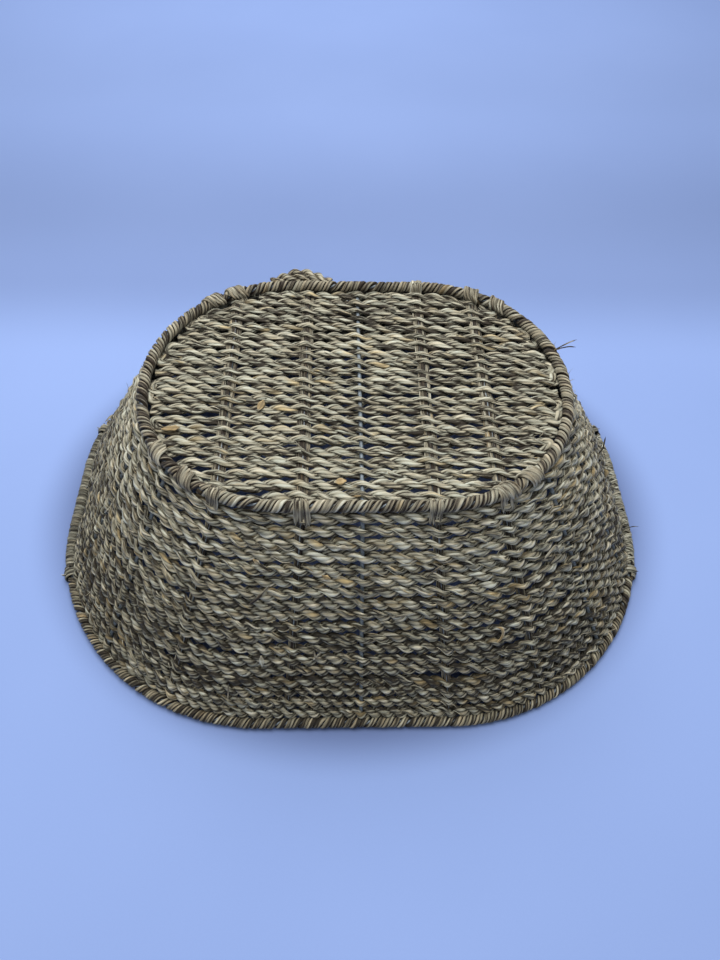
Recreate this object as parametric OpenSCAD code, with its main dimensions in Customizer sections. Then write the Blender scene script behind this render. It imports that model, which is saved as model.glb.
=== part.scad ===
// Seagrass storage basket on a wire frame, standing on its rim with the base upwards.
// A welded frame of round wire carries twined rope: straight rows on the base, closed
// courses on the walls, a wrapped border, a wrapped rim and two end grips with hand holes.
// Millimetres. +X runs along the length, +Z from the rim to the base.
// The origin is the centre of the plane that the rim rests on.

/* [Overall] */
// Length over the two end grips
rim_len = 420; // [380:5:460]
// Depth over the rim
rim_dep = 350; // [320:5:390]
// Radius of the rim's corners, outside
rim_corner = 150; // [120:5:160]
// Length of the base, outside its border
base_len = 270; // [240:5:290]
// Depth of the base, outside its border
base_dep = 190; // [180:2:200]
// Radius of the base's corners, outside
base_corner = 92; // [80:1:93]
// Height from the rim's resting plane to the base's resting plane
height = 136; // [120:2:160]

/* [Wire frame] */
// Diameter of the stakes
stake_d = 2.4; // [2:0.1:2.8]
// Diameter of the two ring wires
ring_d = 3; // [2.6:0.1:3.4]
// Where the five long stakes cross the base, along its length
stake_x = [-80, -32, 2, 43, 81]; // [-84:1:84]
// Directions of the corner stakes and of the outer end stakes, round the corner from the long axis
corner_stake_angles = [42, 18]; // [18:1:42]

/* [Rope] */
// Diameter of the two-ply rope
rope_d = 5.8; // [5:0.1:6.2]
// Rows of rope across the base, laid in pairs
base_rows = 22; // [22:2:22]
// Distance between neighbouring base rows
row_pitch = 8; // [7.4:0.1:8]
// Courses of rope that go all the way round the wall, laid in pairs
wall_courses = 16; // [16:2:16]
// Courses below them that stop at the hand holes
hole_courses = 2; // [2:1:2]

/* [Wrapping] */
// Diameter of the border wrapped round the base ring
border_d = 6.6; // [6:0.1:7]
// Diameter of the wrapping round the rim ring
rim_wrap_d = 7; // [6.6:0.1:7.4]
// Diameter of the end grips
grip_d = 9; // [8:0.1:10]
// Diameter of the knots at the ends of the grips
knot_d = 10.5; // [10:0.1:10.8]
// Length of a knot along the rim
knot_len = 8; // [6:1:10]
// Thickness of one strip of lashing
lash_d = 1.6; // [1.4:0.1:1.7]
// Strips in one lashing
lash_strips = 4; // [3:1:5]
// The long stakes that the border is lashed to at the front
lashed_front = [1, 2, 4, 5]; // [1:1:5]
// The long stakes that the border is lashed to at the back
lashed_back = [1, 4, 5]; // [1:1:5]

/* [Hand holes] */
// Length of each grip between its knots
grip_len = 118; // [100:2:130]
// Length of each hand hole in the wall
hole_len = 106; // [90:2:112]

/* [Hidden] */
$fn = 40;
wire_grey = "#9aa6ad";
straw = "#b3a382";
olive_straw = "#a39a7c";
dry_leaf = "#bda77c";
// clearance round a wire that runs inside a rope, and where two wires are welded
wire_play = 0.1;
weld_gap = 0.05;
// a ball at a bend is a little thicker than the wire or rope it joins
ball_swell = 1.06;

// ring centre lines: half length, half depth and corner radius
base_ring = [(base_len - border_d) / 2, (base_dep - border_d) / 2, base_corner - border_d / 2];
rim_ring = [(rim_len - grip_d) / 2, (rim_dep - rim_wrap_d) / 2, rim_corner - rim_wrap_d / 2];
base_z = height - lash_d - border_d / 2 + 0.3;
rim_z = rim_wrap_d / 2 - 0.1;

// the wall's middle surface passes under the base ring and inside the rim ring
weld = (ring_d + stake_d) / 2 + weld_gap;
wall_top = concat(base_ring, [base_z - weld]);
wall_foot = [rim_ring[0] - weld, rim_ring[1] - weld, rim_ring[2] - weld, rim_z];
slant = norm([wall_foot[1] - wall_top[1], wall_top[3] - wall_foot[3]]);
first_course = 5.5 / slant;
last_course = 1 - 5.2 / slant;
course_step = (last_course - first_course) / (wall_courses + hole_courses - 1);

// sizes along a ring are kept to hundredths, so that its pieces meet exactly
function neat(x) = round(x * 100) / 100;
// the wall at a share s of the way from the base (0) to the rim (1)
function wall(s) = [for (i = [0:3]) neat(wall_top[i] * (1 - s) + wall_foot[i] * s)];
function course(i) = wall(first_course + (i - 1) * course_step);
function flat_x(w) = w[0] - w[2];
function flat_y(w) = w[1] - w[2];

// a point on section w, by its place along the base or by its direction round the corner
function by_x(x, w) =
    let (flat = flat_x(wall_top))
    let (c = (abs(x) - flat) / wall_top[2])
    abs(x) <= flat
        ? [x * flat_x(w) / flat, w[1], w[3]]
        : [sign(x) * (flat_x(w) + w[2] * c), flat_y(w) + w[2] * sqrt(1 - c * c), w[3]];
function by_angle(a, w) = [flat_x(w) + w[2] * cos(a), flat_y(w) + w[2] * sin(a), w[3]];
function mirrored(p, sx, sy) = [p[0] * sx, p[1] * sy, p[2]];

// direction round the rim's corner at a distance y from the long axis
function rim_angle(y, w) = asin((y - flat_y(w)) / w[2]);
hole_angle = neat(rim_angle(hole_len / 2, wall_foot));
grip_angle = neat(rim_angle(grip_len / 2, rim_ring));
knot_angle = neat(rim_angle(grip_len / 2 + knot_len, rim_ring));

module rod(p, q, d) {
    v = q - p;
    translate(p)
        rotate([0, acos(v[2] / norm(v)), atan2(v[1], v[0])])
            cylinder(h = norm(v), d = d);
}

module ball(p, d) {
    translate(p) sphere(d = d);
}

// puts a piece of a ring's back right corner into the quadrant (sx, sy)
module in_corner(w, z, sx, sy) {
    mirror([sx < 0 ? 1 : 0, 0, 0])
        mirror([0, sy < 0 ? 1 : 0, 0])
            translate([flat_x(w), flat_y(w), z]) children();
}

// a corner of a rounded ring, or the part of it next to the end's straight run
module end_bend(w, z, sx, sy, span = 90) {
    in_corner(w, z, sx, sy)
        rotate_extrude(angle = span)
            translate([w[2], 0]) children();
}

// the part of a corner next to the long side's straight run
module side_bend(w, z, sx, sy, span) {
    in_corner(w, z, sx, sy)
        mirror([1, -1, 0])
            rotate_extrude(angle = span)
                translate([w[2], 0]) children();
}

// the straight run of a rounded ring on the front (-1) or the back (1)
module ring_side(w, z, sy) {
    translate([-flat_x(w), sy * w[1], z])
        rotate([90, 0, 90])
            linear_extrude(2 * flat_x(w)) children();
}

// the straight run of a rounded ring on the left (-1) or the right (1) end
module ring_end(w, z, sx) {
    translate([sx * w[0], flat_y(w), z])
        rotate([90, 0, 0])
            linear_extrude(2 * flat_y(w)) children();
}

module whole_ring(w, z) {
    for (sy = [-1, 1]) {
        ring_side(w, z, sy) children();
        ring_end(w, z, sy) children();
        for (sx = [-1, 1])
            end_bend(w, z, sx, sy) children();
    }
}

module tube_section(d) {
    difference() {
        circle(d = d);
        circle(d = ring_d + 2 * wire_play);
    }
}

// a stake's leg down the wall, between two sections of it
module leg(top, foot, d) {
    rod(top, foot, d);
    ball(top, d * ball_swell);
}

module long_stake(x, d) {
    for (sy = [-1, 1])
        leg(mirrored(by_x(x, wall_top), 1, sy), mirrored(by_x(x, wall_foot), 1, sy), d);
    rod(mirrored(by_x(x, wall_top), 1, -1), by_x(x, wall_top), d);
}

module corner_stake(sx, sy, d) {
    a = corner_stake_angles[0];
    leg(mirrored(by_angle(a, wall_top), sx, sy), mirrored(by_angle(a, wall_foot), sx, sy), d);
}

// two stakes beside the hand hole, and a middle one that ends at the course above it
module end_stakes(sx, d) {
    a = corner_stake_angles[1];
    for (sy = [-1, 1])
        leg(mirrored(by_angle(a, wall_top), sx, sy), mirrored(by_angle(a, wall_foot), sx, sy), d);
    above_hole = course(wall_courses);
    leg([sx * wall_top[0], 0, wall_top[3]], [sx * above_hole[0], 0, above_hole[3]], d);
}

// the room that every stake takes inside the rope
module stake_room() {
    d = stake_d + 2 * wire_play;
    for (x = stake_x)
        long_stake(x, d);
    for (sx = [-1, 1]) {
        end_stakes(sx, d);
        for (sy = [-1, 1])
            corner_stake(sx, sy, d);
    }
}

// a rope goes across the base as one row, turns and comes back as the next
base_clear = (border_d + rope_d) / 2 + 0.3;
function row_y(i) = (i - (base_rows + 1) / 2) * row_pitch;
function row_reach(y) =
    let (past_flat = max(abs(y) - flat_y(base_ring), 0))
    flat_x(base_ring) + sqrt(pow(base_ring[2] - base_clear, 2) - pow(past_flat, 2));
function turn_x(pair) =
    let (outer = max(abs(row_y(2 * pair - 1)), abs(row_y(2 * pair))))
    neat(min(row_reach(outer), row_reach(outer - row_pitch / 2) - row_pitch / 2));

module base_rope(pair) {
    reach = turn_x(pair);
    side = pair % 2 == 0 ? -1 : 1;
    middle = (row_y(2 * pair - 1) + row_y(2 * pair)) / 2;
    color(straw)
        difference() {
            translate([0, middle, wall_top[3]]) {
                for (dy = [-0.5, 0.5] * row_pitch)
                    rod([-reach, dy, 0], [reach, dy, 0], rope_d);
                translate([side * reach, 0, 0])
                    rotate([0, 0, side > 0 ? -90 : 90])
                        rotate_extrude(angle = 180)
                            translate([row_pitch / 2, 0]) circle(d = rope_d);
            }
            for (x = stake_x)
                rod(
                    [x, -base_dep / 2, wall_top[3]],
                    [x, base_dep / 2, wall_top[3]],
                    stake_d + 2 * wire_play
                );
        }
}

// a rope goes round the wall twice
module wall_rope(pair) {
    color(pair % 2 == 0 ? straw : olive_straw)
        difference() {
            for (i = [2 * pair - 1, 2 * pair])
                whole_ring(course(i), course(i)[3]) circle(d = rope_d);
            stake_room();
        }
}

// one rope fills the wall between the hand holes, and turns back at both of them
module hand_hole_rope(sy) {
    upper = course(wall_courses + 1);
    lower = course(wall_courses + 2);
    color(olive_straw)
        difference() {
            union() {
                for (w = [upper, lower]) {
                    ring_side(w, w[3], sy) circle(d = rope_d);
                    for (sx = [-1, 1])
                        side_bend(w, w[3], sx, sy, 90 - hole_angle) circle(d = rope_d);
                }
                for (sx = [-1, 1]) {
                    p = mirrored(by_angle(hole_angle, upper), sx, sy);
                    q = mirrored(by_angle(hole_angle, lower), sx, sy);
                    rod(p, q, rope_d);
                    ball(p, rope_d * ball_swell);
                    ball(q, rope_d * ball_swell);
                }
            }
            stake_room();
        }
}

// the border is wrapped in four lengths that meet near the corners
border_split = 60;

module border_side(sy) {
    color(dry_leaf)
        difference() {
            union() {
                ring_side(base_ring, base_z, sy) tube_section(border_d);
                for (sx = [-1, 1])
                    side_bend(base_ring, base_z, sx, sy, 90 - border_split) tube_section(border_d);
            }
            stake_room();
        }
}

module border_end(sx) {
    color(dry_leaf)
        difference() {
            union() {
                ring_end(base_ring, base_z, sx) tube_section(border_d);
                for (sy = [-1, 1])
                    end_bend(base_ring, base_z, sx, sy, border_split) tube_section(border_d);
            }
            stake_room();
        }
}

// lashings bind the border to the long stakes: [place along the base, front (-1) or back (1)]
lash_places = concat(
    [for (i = lashed_front) [stake_x[i - 1], -1]],
    [for (i = lashed_back) [stake_x[i - 1], 1]]
);

module lashing(i) {
    x = lash_places[i - 1][0];
    sy = lash_places[i - 1][1];
    spot = mirrored(by_x(x, wall_top), 1, sy);
    turned = asin(max(abs(x) - flat_x(base_ring), 0) / base_ring[2]);
    step = lash_d * 0.9;
    strip_radius = (border_d + lash_d) / 2 + wire_play;
    color(straw)
        difference() {
            pressed_flat()
                translate([spot[0], spot[1], base_z])
                    rotate([0, 0, -sign(x) * sy * turned])
                        rotate([0, 90, 0])
                            rotate_extrude()
                                for (k = [1:lash_strips])
                                    translate([strip_radius, (k - (lash_strips + 1) / 2) * step])
                                        circle(d = lash_d);
            stake_room();
        }
}

// wrapping is pressed flat where the basket rests, on its rim or on its base
module pressed_flat() {
    intersection() {
        children();
        translate([-rim_len, -rim_dep, 0])
            cube([2 * rim_len, 2 * rim_dep, height]);
    }
}

module rim_wrap(sy) {
    color(dry_leaf)
        difference() {
            pressed_flat()
                union() {
                    ring_side(rim_ring, rim_z, sy) tube_section(rim_wrap_d);
                    for (sx = [-1, 1])
                        side_bend(rim_ring, rim_z, sx, sy, 90 - knot_angle) tube_section(rim_wrap_d);
                }
            stake_room();
        }
}

module grip(sx) {
    color(straw)
        pressed_flat()
            union() {
                ring_end(rim_ring, rim_z, sx) tube_section(grip_d);
                for (sy = [-1, 1])
                    end_bend(rim_ring, rim_z, sx, sy, grip_angle) tube_section(grip_d);
            }
}

// a knot sits outwards of the ring wire and a little below it
module knot_section() {
    difference() {
        translate([2, -0.5]) circle(d = knot_d);
        circle(d = ring_d + 2 * wire_play);
    }
}

module grip_knots(sx) {
    color(olive_straw)
        pressed_flat()
            for (sy = [-1, 1])
                in_corner(rim_ring, rim_z, sx, sy)
                    rotate([0, 0, grip_angle])
                        rotate_extrude(angle = knot_angle - grip_angle)
                            translate([rim_ring[2], 0]) knot_section();
}

// the border's last strand is laid behind it and stands out as a low loop
tail_x = -37;
tail_span = 40;
tail_rise = 6;
tail_rope_d = 4.4;
tail_bend = (pow(tail_span / 2, 2) + pow(tail_rise, 2)) / (2 * tail_rise);
tail_half_angle = asin(tail_span / 2 / tail_bend);
tail_y = base_dep / 2 + tail_rope_d / 2 + wire_play - tail_bend * cos(tail_half_angle);

module border_tail() {
    color(dry_leaf)
        translate([tail_x, tail_y, base_z])
            rotate([0, 0, 90 - tail_half_angle])
                rotate_extrude(angle = 2 * tail_half_angle)
                    translate([tail_bend, 0]) circle(d = tail_rope_d);
}

module ring_wire(ring, z) {
    color(wire_grey) whole_ring(ring, z) circle(d = ring_d);
}

ring_wire(base_ring, base_z);  // base_ring_wire
ring_wire(rim_ring, rim_z);  // rim_ring_wire
for (i = [1:len(stake_x)])
    color(wire_grey) long_stake(stake_x[i - 1], stake_d);
color(wire_grey) corner_stake(-1, -1, stake_d);  // corner_stake_front_left
color(wire_grey) corner_stake(1, -1, stake_d);  // corner_stake_front_right
color(wire_grey) corner_stake(-1, 1, stake_d);  // corner_stake_back_left
color(wire_grey) corner_stake(1, 1, stake_d);  // corner_stake_back_right
color(wire_grey) end_stakes(-1, stake_d);  // end_stakes_left
color(wire_grey) end_stakes(1, stake_d);  // end_stakes_right
for (i = [1:base_rows / 2])
    base_rope(i);
for (i = [1:wall_courses / 2])
    wall_rope(i);
hand_hole_rope(-1);  // hand_hole_rope_front
hand_hole_rope(1);  // hand_hole_rope_back
border_side(-1);  // border_front
border_side(1);  // border_back
border_end(-1);  // border_left
border_end(1);  // border_right
for (i = [1:len(lash_places)])
    lashing(i);
rim_wrap(-1);  // rim_wrap_front
rim_wrap(1);  // rim_wrap_back
grip(-1);  // grip_left
grip(1);  // grip_right
grip_knots(-1);  // grip_knots_left
grip_knots(1);  // grip_knots_right
border_tail();
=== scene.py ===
"""Seagrass storage basket standing upside down: detailed rope, wrapping and wire round the CAD frame.

Metres throughout. The wires are the CAD model's own; every rope, wrap, lashing and knot is swept here
as strands of grass and stands for the CAD node of the same name.
"""

import math

import bpy
import numpy as np
from mathutils import Matrix, Vector


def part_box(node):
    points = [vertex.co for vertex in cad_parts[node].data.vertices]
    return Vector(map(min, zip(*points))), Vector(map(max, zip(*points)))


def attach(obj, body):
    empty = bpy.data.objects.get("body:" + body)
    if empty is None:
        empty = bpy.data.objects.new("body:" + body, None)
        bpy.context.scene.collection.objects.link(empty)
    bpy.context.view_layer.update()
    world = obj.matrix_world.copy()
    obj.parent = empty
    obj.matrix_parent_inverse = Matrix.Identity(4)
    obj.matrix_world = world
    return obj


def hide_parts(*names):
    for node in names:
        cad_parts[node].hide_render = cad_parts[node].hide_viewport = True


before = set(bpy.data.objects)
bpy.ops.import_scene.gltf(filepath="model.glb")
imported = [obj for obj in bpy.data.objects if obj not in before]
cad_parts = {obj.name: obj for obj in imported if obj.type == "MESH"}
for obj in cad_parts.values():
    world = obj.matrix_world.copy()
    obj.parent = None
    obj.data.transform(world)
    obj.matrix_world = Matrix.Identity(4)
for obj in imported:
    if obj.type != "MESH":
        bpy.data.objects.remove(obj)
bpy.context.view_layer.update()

MM = 0.001
STEP = 1.5 * MM  # distance between the rings of a swept strand
SIDES = 20  # corners round a strand, four to a blade of grass
TURN_STEP = 1.25  # degrees between the points of an outline
UP = np.array([0.0, 0.0, 1.0])

# the frame's sizes, as in the CAD model
RING_WIRE, STAKE_WIRE = 3.0 * MM, 2.4 * MM
BASE_CORNER, RIM_CORNER = 88.7 * MM, 146.5 * MM
WELD = (RING_WIRE + STAKE_WIRE) / 2
COURSES, FIRST_COURSE, LAST_COURSE = 18, 5.5 * MM, 5.2 * MM
ROWS, ROW_PITCH, ROW_CLEAR = 22, 8.0 * MM, 4.6 * MM
STAKE_X = (-0.080, -0.032, 0.002, 0.043, 0.081)  # the five long stakes, where they cross the base
CORNER_ANGLES = [math.radians(a) for a in (42, 18, 0)]  # corner stakes, then outer and middle end stakes


# ---------------------------------------------------------------- places on the frame
def ring_of(node, corner):
    """Half length, half depth, corner radius and height of a ring wire's centre line."""
    lo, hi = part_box(node)
    r = (hi.z - lo.z) / 2
    return np.array([hi.x - r, hi.y - r, corner, (hi.z + lo.z) / 2])


base_ring = ring_of("base_ring_wire", BASE_CORNER)
rim_ring = ring_of("rim_ring_wire", RIM_CORNER)
wall_top = base_ring - [0, 0, 0, WELD]
wall_foot = rim_ring - [WELD, WELD, WELD, 0]
slant = math.hypot(wall_foot[1] - wall_top[1], wall_top[3] - wall_foot[3])
wall_out = (wall_top[3] - wall_foot[3]) / slant
wall_up = (wall_foot[1] - wall_top[1]) / slant


def course(i):
    """The wall's outline at course i, counted from the base; i may lie between two courses."""
    first, last = FIRST_COURSE / slant, 1 - LAST_COURSE / slant
    t = first + (i - 1) * (last - first) / (COURSES - 1)
    return wall_top * (1 - t) + wall_foot * t


def long_stake_place(w, x):
    """Where the long stake at x on the base crosses the back of an outline."""
    flat = wall_top[0] - wall_top[2]
    c = max(abs(x) - flat, 0) / wall_top[2]
    px = x * (w[0] - w[2]) / flat if c == 0 else math.copysign(w[0] - w[2] + w[2] * c, x)
    return px, w[1] - w[2] + w[2] * math.sqrt(1 - c * c)


def stake_places(w):
    """Where the stakes cross an outline: every long stake twice, the corner and end stakes once."""
    places = []
    for x in STAKE_X:
        px, py = long_stake_place(w, x)
        places += [(px, py), (px, -py)]
    for a in CORNER_ANGLES:
        px, py = w[0] - w[2] + w[2] * math.cos(a), w[1] - w[2] + w[2] * math.sin(a)
        if a == 0:
            places += [(w[0], 0), (-w[0], 0)]
        else:
            places += [(sx * px, sy * py) for sx in (-1, 1) for sy in (-1, 1)]
    return np.array(places)


# ---------------------------------------------------------------- lines that strands follow
def unit(v):
    return v / np.maximum(np.linalg.norm(v, axis=-1, keepdims=True), 1e-12)


def arc_lengths(points):
    """Distance along a path to each of its points."""
    return np.concatenate([[0], np.cumsum(np.linalg.norm(np.diff(points, axis=0), axis=1))])


def resample(at, s, v):
    """Vectors v given at distances s, read off at other distances."""
    return np.stack([np.interp(at, s, v[:, k]) for k in range(3)], 1)


def smooth(p, times, closed=False):
    """A path with its corners rounded off; an open path keeps its ends."""
    for _ in range(times):
        if closed:
            p = (np.roll(p, 1, 0) + p * 2 + np.roll(p, -1, 0)) / 4
        else:
            p[1:-1] = (p[:-2] + 2 * p[1:-1] + p[2:]) / 4
    return p


class Line:
    """A path with a direction out of the weave at each point."""

    def __init__(self, points, out, closed=False):
        self.p, self.closed = np.asarray(points, float), closed
        if closed:
            ahead, behind = np.roll(self.p, -1, 0), np.roll(self.p, 1, 0)
        else:
            ahead = np.vstack([self.p[1:], self.p[-1:]])
            behind = np.vstack([self.p[:1], self.p[:-1]])
        self.t = unit(ahead - behind)
        out = np.broadcast_to(out, self.p.shape)
        self.n = unit(out - self.t * (out * self.t).sum(1, keepdims=True))
        self.b = np.cross(self.t, self.n)
        self.s = arc_lengths(self.p)
        self.length = self.s[-1] + (np.linalg.norm(self.p[0] - self.p[-1]) if closed else 0)

    def moved(self, out, across):
        """The same path shifted out of the weave and across it."""
        p = self.p + self.n * np.reshape(out, (-1, 1)) + self.b * np.reshape(across, (-1, 1))
        return Line(p, self.n, self.closed)

    def nearest(self, place):
        """Distance along the path to the point nearest a place."""
        d = np.linalg.norm(self.p[:, : len(place)] - place, axis=1)
        return self.s[int(d.argmin())]


def even(points, out=None, step=STEP, closed=False):
    """Points spread evenly along a rough path, and their directions with them."""
    points = np.asarray(points, float)
    if closed:
        points = np.vstack([points, points[:1]])
        out = None if out is None else np.vstack([out, out[:1]])
    s = arc_lengths(points)
    n = max(3, int(round(s[-1] / step)) + 1)
    at = np.linspace(0, s[-1], n)[: -1 if closed else None]
    if out is not None:
        out = unit(resample(at, s, np.asarray(out, float)))
    return resample(at, s, points), out


def outline(w, start, end):
    """Points round a rounded rectangle, anticlockwise from the direction start, and the way out at each."""
    a = np.radians(np.arange(start, end + 1e-6, TURN_STEP))
    out = np.stack([np.cos(a), np.sin(a), 0 * a], 1)
    corner = np.sign(np.round(out[:, :2], 9)) * [w[0] - w[2], w[1] - w[2]]
    p = np.column_stack([corner + out[:, :2] * w[2], np.full(len(a), w[3])])
    return p, out


def long_half(w, side):
    """The front half of an outline for side -1, the back half for side 1."""
    return outline(w, 180, 360) if side < 0 else outline(w, 0, 180)


def end_half(w, side):
    """The left half of an outline for side -1, the right half for side 1."""
    return outline(w, 90, 270) if side < 0 else outline(w, -90, 90)


def up_and_out(out):
    """Between out and up, the way that a ring wire's wrapping faces."""
    return out * 0.7 + UP * 0.7


def wall_line(w):
    """A closed course of rope on the wall, facing out of its slope."""
    p, out = outline(w, 0, 359.9)
    p, out = even(p, out * wall_out + UP * wall_up, closed=True)
    return Line(p, out, True)


def wander(rng, s, reach, closed=False):
    """A smooth random curve along s, between -1 and 1, that changes over about reach."""
    span = max(s[-1] - s[0], 1e-9)
    n = max(4, int(span / reach) + 1)
    knots = rng.uniform(-1, 1, n + 1)
    if closed:
        knots[-1] = knots[0]
    x = (s - s[0]) / (span * (1 + (1.0 / len(s) if closed else 0))) * n
    i = np.clip(x.astype(int), 0, n - 1)
    t = x - i
    t = t * t * (3 - 2 * t)
    return knots[i] * (1 - t) + knots[i + 1] * t


# ---------------------------------------------------------------- strands into meshes
# edge and fall of the painted shade round the core, how dark it is, and how dark the painted shade on the
# flanks is
ROPE_CORE = (0.74, 0.30, 0.34, 0.62)
WRAP_CORE = (0.93, 0.30, 0.75, 0)


def painted_crease_shade(co, core):
    """How deep in painted shade each corner lies: in the crease by the core, or low on the rope's flanks."""
    line, high, broad, (edge, fall, dark, beside) = core
    away = co - line[:, None, :]
    y, z = (away * broad[:, None, :]).sum(2), (away * high[:, None, :]).sum(2)
    inner = np.clip((edge - np.hypot(y, z)) / fall, 0, 1)
    flank = np.clip((np.abs(y) - 0.62) / 0.3, 0, 1)
    return dark * inner + beside * flank


class Bundle:
    """Collects swept strands and makes one object of them."""

    def __init__(self):
        self.co, self.quads, self.caps, self.fibre, self.tone, self.warm = [], [], [], [], [], []
        self.count = 0

    def sweep(self, centre, up, side, thick, wide, rng, closed=False, *, tone, warm, sides=SIDES, blades=5,
              twist=0.0, groove=0.2, core=None):
        """One strand of a few blades of grass: an oval section with a groove between the blades.

        core is the line it is twisted or wound round, with the two ways across it scaled to the whole
        rope's half sizes, and how far and how strongly painted shade darkens the strand round it.
        """
        s = arc_lengths(centre)
        column = np.arange(sides)
        turn = 2 * np.pi * column / sides + np.reshape(twist * s, (-1, 1))
        blade = column * blades // sides
        in_blade = (column * blades / sides) % 1
        crown = np.abs(np.sin(np.pi * in_blade)) ** 0.6
        bulge = np.stack([wander(rng, s, 9 * MM, closed) for _ in range(blades)], 1)[:, blade]
        size = 1 - groove + (groove + 0.05 * bulge) * crown + 0.035 * bulge
        thick, wide = np.reshape(thick, (-1, 1)), np.reshape(wide, (-1, 1))
        a, b = (thick * np.cos(turn) * size)[..., None], (wide * np.sin(turn) * size)[..., None]
        co = centre[:, None, :] + a * up[:, None, :] + b * side[:, None, :]
        shade = np.stack([wander(rng, s, 13 * MM, closed) * 0.75 + rng.uniform(-0.5, 0.5)
                          for _ in range(blades)], 1)[:, blade]
        # painted shade: darker in the grooves between the blades, and by the core and low on the flanks where
        # a core is given
        deep = 0.4 * (1 - crown) + (0 if core is None else painted_crease_shade(co, core))
        aged = wander(rng, s, 45 * MM, closed)
        gold = np.stack([np.clip(1.3 * (aged + wander(rng, s, 14 * MM, closed) - 1.7 + 5 * warm), 0, 1)
                         for _ in range(blades)], 1)[:, blade]
        fibre = np.empty((len(s), sides, 3))
        fibre[..., 0] = s[:, None]
        fibre[..., 1] = in_blade * 2.4 * MM
        fibre[..., 2] = rng.uniform(0, 50, blades)[blade]
        self.co.append(co.reshape(-1, 3))
        self.fibre.append(fibre.reshape(-1, 3))
        # tone: random lightness per blade added, the painted shade taken off
        self.tone.append(np.clip(np.reshape(tone, (-1, 1)) + 0.34 * shade - deep, -0.4, 1).reshape(-1))
        self.warm.append(gold.reshape(-1))
        self.skin(len(s), sides, closed)

    def skin(self, n, sides, closed):
        """The faces over the last n rings of corners: a closed tube, or one with a cap at each end."""
        ids = self.count + np.arange(n * sides).reshape(n, sides)
        rows = ids if closed else ids[:-1]
        nexts = np.roll(ids, -1, 0) if closed else ids[1:]
        quads = np.stack([rows, nexts, np.roll(nexts, -1, 1), np.roll(rows, -1, 1)], -1)
        self.quads.append(quads.reshape(-1, 4))
        if not closed:
            self.caps += [ids[0], ids[-1][::-1]]
        self.count += n * sides

    def mesh(self, name):
        """The collected corners and faces, with the values that the grass material reads."""
        co, quads = np.concatenate(self.co), np.concatenate(self.quads)
        co[:, 2] = np.maximum(co[:, 2], 0.05 * MM)  # pressed flat where it rests on the floor
        mesh = bpy.data.meshes.new(name)
        mesh.vertices.add(len(co))
        mesh.vertices.foreach_set("co", co.astype(np.float32).ravel())
        loops = np.concatenate([quads.ravel()] + self.caps)
        sizes = np.concatenate([np.full(len(quads), 4), [len(c) for c in self.caps]]).astype(np.int32)
        mesh.loops.add(len(loops))
        mesh.loops.foreach_set("vertex_index", loops.astype(np.int32))
        mesh.polygons.add(len(sizes))
        starts = np.concatenate([[0], np.cumsum(sizes)[:-1]])
        mesh.polygons.foreach_set("loop_start", starts.astype(np.int32))
        mesh.polygons.foreach_set("use_smooth", np.ones(len(sizes), bool))
        for key, kind, field, data in (("fibre", "FLOAT_VECTOR", "vector", self.fibre),
                                       ("tone", "FLOAT", "value", self.tone),
                                       ("warm", "FLOAT", "value", self.warm)):
            layer = mesh.attributes.new(key, kind, "POINT")
            layer.data.foreach_set(field, np.concatenate(data).astype(np.float32).ravel())
        mesh.update(calc_edges=True)
        mesh.validate()
        return mesh

    def piece(self, name, material, nodes=()):
        """Makes the object, gives it its material and sets it on the frame."""
        obj = bpy.data.objects.new(name, self.mesh(name))
        obj.data.materials.append(material)
        bpy.context.scene.collection.objects.link(obj)
        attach(obj, "root")
        if nodes:
            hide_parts(*nodes)


def twist_phase(line, crossings, rng, lay):
    """The rope's turn along its line: its two plies part over and under every stake that it crosses."""
    if not len(crossings):
        return 2 * np.pi * line.s / lay + rng.uniform(0, 6)
    marks = sorted(crossings)
    if line.closed:
        marks = marks + [marks[0] + line.length]
    gaps = np.diff(marks)
    halves = np.maximum(1, np.round(2 * gaps / lay)).astype(int)
    if line.closed and halves.sum() % 2:
        halves[int(np.argmax(gaps))] += 1
    at, turns = np.array(marks), np.concatenate([[0], np.cumsum(halves)]) * np.pi
    if line.closed:
        at = np.concatenate([at - line.length, at, at + line.length])
        turns = np.concatenate([turns - turns[-1], turns, turns + turns[-1]])
    else:
        rate = 2 * np.pi / lay
        turns = np.concatenate([[-rate * at[0]], turns, [turns[-1] + rate * (line.length - at[-1])]])
        at = np.concatenate([[0.0], at, [line.length]])
    at, keep = np.unique(at, return_index=True)
    return np.interp(line.s, at, turns[keep])


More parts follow.
